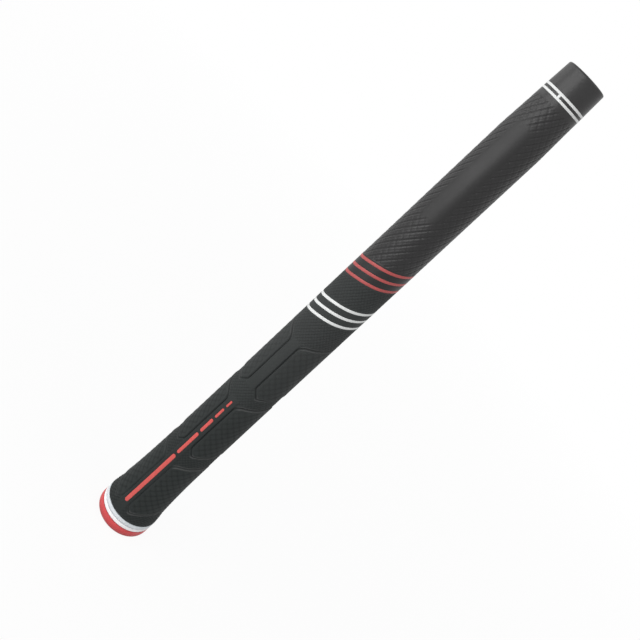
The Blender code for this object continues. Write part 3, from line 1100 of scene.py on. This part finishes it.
class GRIP_OT_dashes(Operator):
    """Red alignment dashes, each in its shallow pocket"""

    bl_idname = "grip.dashes"
    bl_label = "Dashes"

    def execute(self, context):
        body, _, trim = sleeve_settings(context)
        colours = context.scene.grip_colours
        under = colours.upper_rubber
        red = inlay_paint("red_dash_paint", colours.dash_paint, under)
        for node in DASH_NODES:
            low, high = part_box(node)
            half = (high.x - low.x) / 2
            grid = strip_grid(
                low.z, high.z, half,
                lift=-0.03 * MM, sink=0.28 * MM, crown=trim.crown, round_end=half, body=body,
            )
            add_piece(node + "_inlay", grid, False, red, [node])
        return {"FINISHED"}


class GRIP_OT_end_cap(Operator):
    """Red end cap with its rounded rim, ring groove, vent and plug"""

    bl_idname = "grip.end_cap"
    bl_label = "End Cap"

    def execute(self, context):
        # Dark red for the painted shade at the cap's seam, face groove and rim, and for its scuffed
        # specks
        shade_and_dirt = (0.16, 0.030, 0.032)
        tint = context.scene.grip_colours.red_rubber
        material = coloured_rubber("red_cap_rubber", tint, shade_and_dirt)
        top, plug = TRIM_LOWER[0] - CAP_GAP, context.scene.grip_body.bore_at_cap - PLUG_GAP
        profile = np.concatenate([
            arc(VENT + VENT_EDGE, VENT_EDGE, VENT_EDGE, 180, 270, 6),
            [[FACE_POINT, 0.0]],
            arc(FACE_GROOVE, 0.0, GROOVE_RADIUS, 170, 10, 7),
            arc(CAP_RADIUS - RIM, RIM, RIM, -90, 0, 14),
            [[CAP_RADIUS, top - SIDE_POINT]],
            arc(CAP_RADIUS - TOP_EDGE, top - TOP_EDGE, TOP_EDGE, 0, 90, 6),
            [[TOP_POINT, top], [plug + FILLET, top], [plug, top + FILLET]],
            arc(plug - PLUG_EDGE, PLUG_TOP - PLUG_EDGE, PLUG_EDGE, 0, 90, 6),
            arc(VENT + VENT_TOP, PLUG_TOP - VENT_TOP, VENT_TOP, 90, 180, 5),
        ])
        radius, height = profile.T
        # Painted shade at the seam under the trim ring, in the face's groove and round the
        # underside of the rim
        seam = ease(-CAP_SEAM, 0.0, height - top) * (radius > SEAM_FROM)
        groove = bump(radius - FACE_GROOVE, GROOVE_SHADE) * (height < RIM)
        shade_height, shade_width, shade_strength = RIM_SHADE
        dimmed = bump(height - shade_height, shade_width) * (radius > SHADE_FROM)
        edge = np.maximum(seam, groove) + shade_strength * dimmed
        grid = lathe_grid(profile, edge)
        add_piece("end_cap_shell", grid, True, material, ["end_cap"])
        return {"FINISHED"}


class GRIP_OT_trim_rings(Operator):
    """Two white trim rings between the cap and the sleeve"""

    bl_idname = "grip.trim_rings"
    bl_label = "Trim Rings"

    def execute(self, context):
        colours = context.scene.grip_colours
        # Blue-grey for the painted shade at the rings' seams, and for their scuffed specks
        seam = (0.30, 0.35, 0.39)
        white = coloured_rubber("white_trim_rubber", colours.white_rubber, seam)
        # Pale copy of the white trim rubber, darker to paint the shade on the upper ring
        pale = coloured_rubber("pale_trim_rubber", colours.pale_rubber, seam)
        side_radius = CAP_RADIUS - TRIM_BULGE
        reach, bulge = side_radius - TRIM_SOFT, np.linspace(0.0, math.pi, TRIM_POINTS)[1:-1]
        rings = (
            ("trim_ring_lower", TRIM_LOWER, TRIM_ENDS[0], white),
            ("trim_ring_upper", TRIM_UPPER, TRIM_ENDS[1], pale),
        )
        for node, solid, out, material in rings:
            low, high = solid[0] - out[0], solid[1] + out[1]
            side = np.stack([
                side_radius + TRIM_BULGE * np.sin(bulge),
                (low + high) / 2 - (high - low - 2 * TRIM_SOFT) / 2 * np.cos(bulge),
            ], axis=-1)
            profile = np.concatenate([
                [[TRIM_BORE, low]],
                arc(reach, low + TRIM_SOFT, TRIM_SOFT, -90, -5, 7),
                side,
                arc(reach, high - TRIM_SOFT, TRIM_SOFT, 5, 90, 7),
                [[TRIM_BORE, high]],
            ])
            off = np.minimum(profile[:, 1] - low, high - profile[:, 1])
            # Painted shade towards each ring's ends, at the seams
            grid = lathe_grid(profile, 1.0 - ease(0.0, TRIM_SEAM, off))
            add_piece(node + "_band", grid, True, material, [node])
        return {"FINISHED"}


def add_aimed(name, data, place, aim, roll=0.0):
    """Lamp or camera at a place, facing a point and rolled about the line between them."""
    forward = (aim - place).normalized()
    right = forward.cross(Vector((0.0, 0.0, 1.0))).normalized()
    turn = Matrix((right, right.cross(forward), -forward)).transposed()
    turn = (turn @ Matrix.Rotation(roll, 3, "Z")).to_4x4()
    item = add_object(name, data)
    item.matrix_world = Matrix.Translation(place) @ turn
    return item


class GRIP_OT_stage(Operator):
    """Floor, lamps, white surroundings and the camera"""

    bl_idname = "grip.stage"
    bl_label = "Stage"

    def execute(self, context):
        scene = context.scene
        stage = scene.grip_stage
        reach = np.linspace(1.0, 0.0, FLOOR_RINGS) ** 2 * FLOOR_REACH + FLOOR_HOLE
        reach = np.append(reach, [FLOOR_HOLE, FLOOR_REACH + FLOOR_HOLE])
        depth = np.append(np.zeros(FLOOR_RINGS), [-FLOOR_DEPTH, -FLOOR_DEPTH])
        points = turned(reach[:, None], depth[:, None], spin_angles(FLOOR_COLUMNS)[None, :])
        floor = add_object("stage_floor", grid_mesh("stage_floor", points, {}, True))
        floor.data.materials.append(floor_material(stage.floor_colour))

        aim = Vector((0.0, 0.0, LAMP_AIM * GRIP_LENGTH))
        for name, (place, size) in LAMPS.items():
            lamp = bpy.data.lights.new(name + "_lamp", "AREA")
            lamp.shape, lamp.energy = "RECTANGLE", getattr(stage, name + "_power")
            lamp.size, lamp.size_y = size
            add_aimed(name + "_lamp", lamp, Vector(place), aim)

        world = bpy.data.worlds.new("stage_room")
        scene.world = world
        world.use_nodes = True
        tree = world.node_tree
        back = tree.nodes["Background"]
        back.inputs["Color"].default_value = (1.0, 1.0, 1.0, 1.0)
        level = spread(tree, seen_rays(tree), (0.0, 1.0), (stage.room_light, 1.0))
        tree.links.new(level, back.inputs["Strength"])

        data = bpy.data.cameras.new("photo_camera")
        data.sensor_fit = "HORIZONTAL"
        data.sensor_width = 36.0
        data.lens = stage.camera_lens
        data.clip_start, data.clip_end = 0.01, 50.0
        place, aim = Vector(stage.camera_place), Vector(stage.camera_aim)
        scene.camera = add_aimed("photo_camera", data, place, aim, stage.camera_roll)
        scene.view_settings.view_transform = "Standard"
        return {"FINISHED"}


class GRIP_PT_sidebar(Panel):
    """Lists the steps that build the grip"""

    bl_idname = "GRIP_PT_sidebar"
    bl_label = "Golf Grip"
    bl_space_type = "VIEW_3D"
    bl_region_type = "UI"
    bl_category = "Golf Grip"

    def draw(self, context):
        for step in STEPS:
            self.layout.operator(step.bl_idname)


STEPS = (
    GRIP_OT_end_cap,
    GRIP_OT_trim_rings,
    GRIP_OT_upper_sleeve,
    GRIP_OT_lower_sleeve,
    GRIP_OT_stripes,
    GRIP_OT_mouth_rings,
    GRIP_OT_dashes,
    GRIP_OT_stage,
)
SETTINGS = {
    "grip_body": GripBodySettings,
    "grip_tread": GripTreadSettings,
    "grip_trim": GripTrimSettings,
    "grip_colours": GripColourSettings,
    "grip_stage": GripStageSettings,
}
CLASSES = (*SETTINGS.values(), *STEPS, GRIP_PT_sidebar)


def register():
    """Registers the settings, the steps and the panel."""
    for each in CLASSES:
        bpy.utils.register_class(each)
    for name, group in SETTINGS.items():
        setattr(bpy.types.Scene, name, PointerProperty(type=group))


def unregister():
    """Takes everything out again, last first."""
    for name in SETTINGS:
        delattr(bpy.types.Scene, name)
    for each in reversed(CLASSES):
        bpy.utils.unregister_class(each)


def main():
    register()
    bpy.ops.grip.end_cap()
    bpy.ops.grip.trim_rings()
    bpy.ops.grip.upper_sleeve()
    bpy.ops.grip.lower_sleeve()
    bpy.ops.grip.stripes()
    bpy.ops.grip.mouth_rings()
    bpy.ops.grip.dashes()
    bpy.ops.grip.stage()


if __name__ == "__main__":
    main()
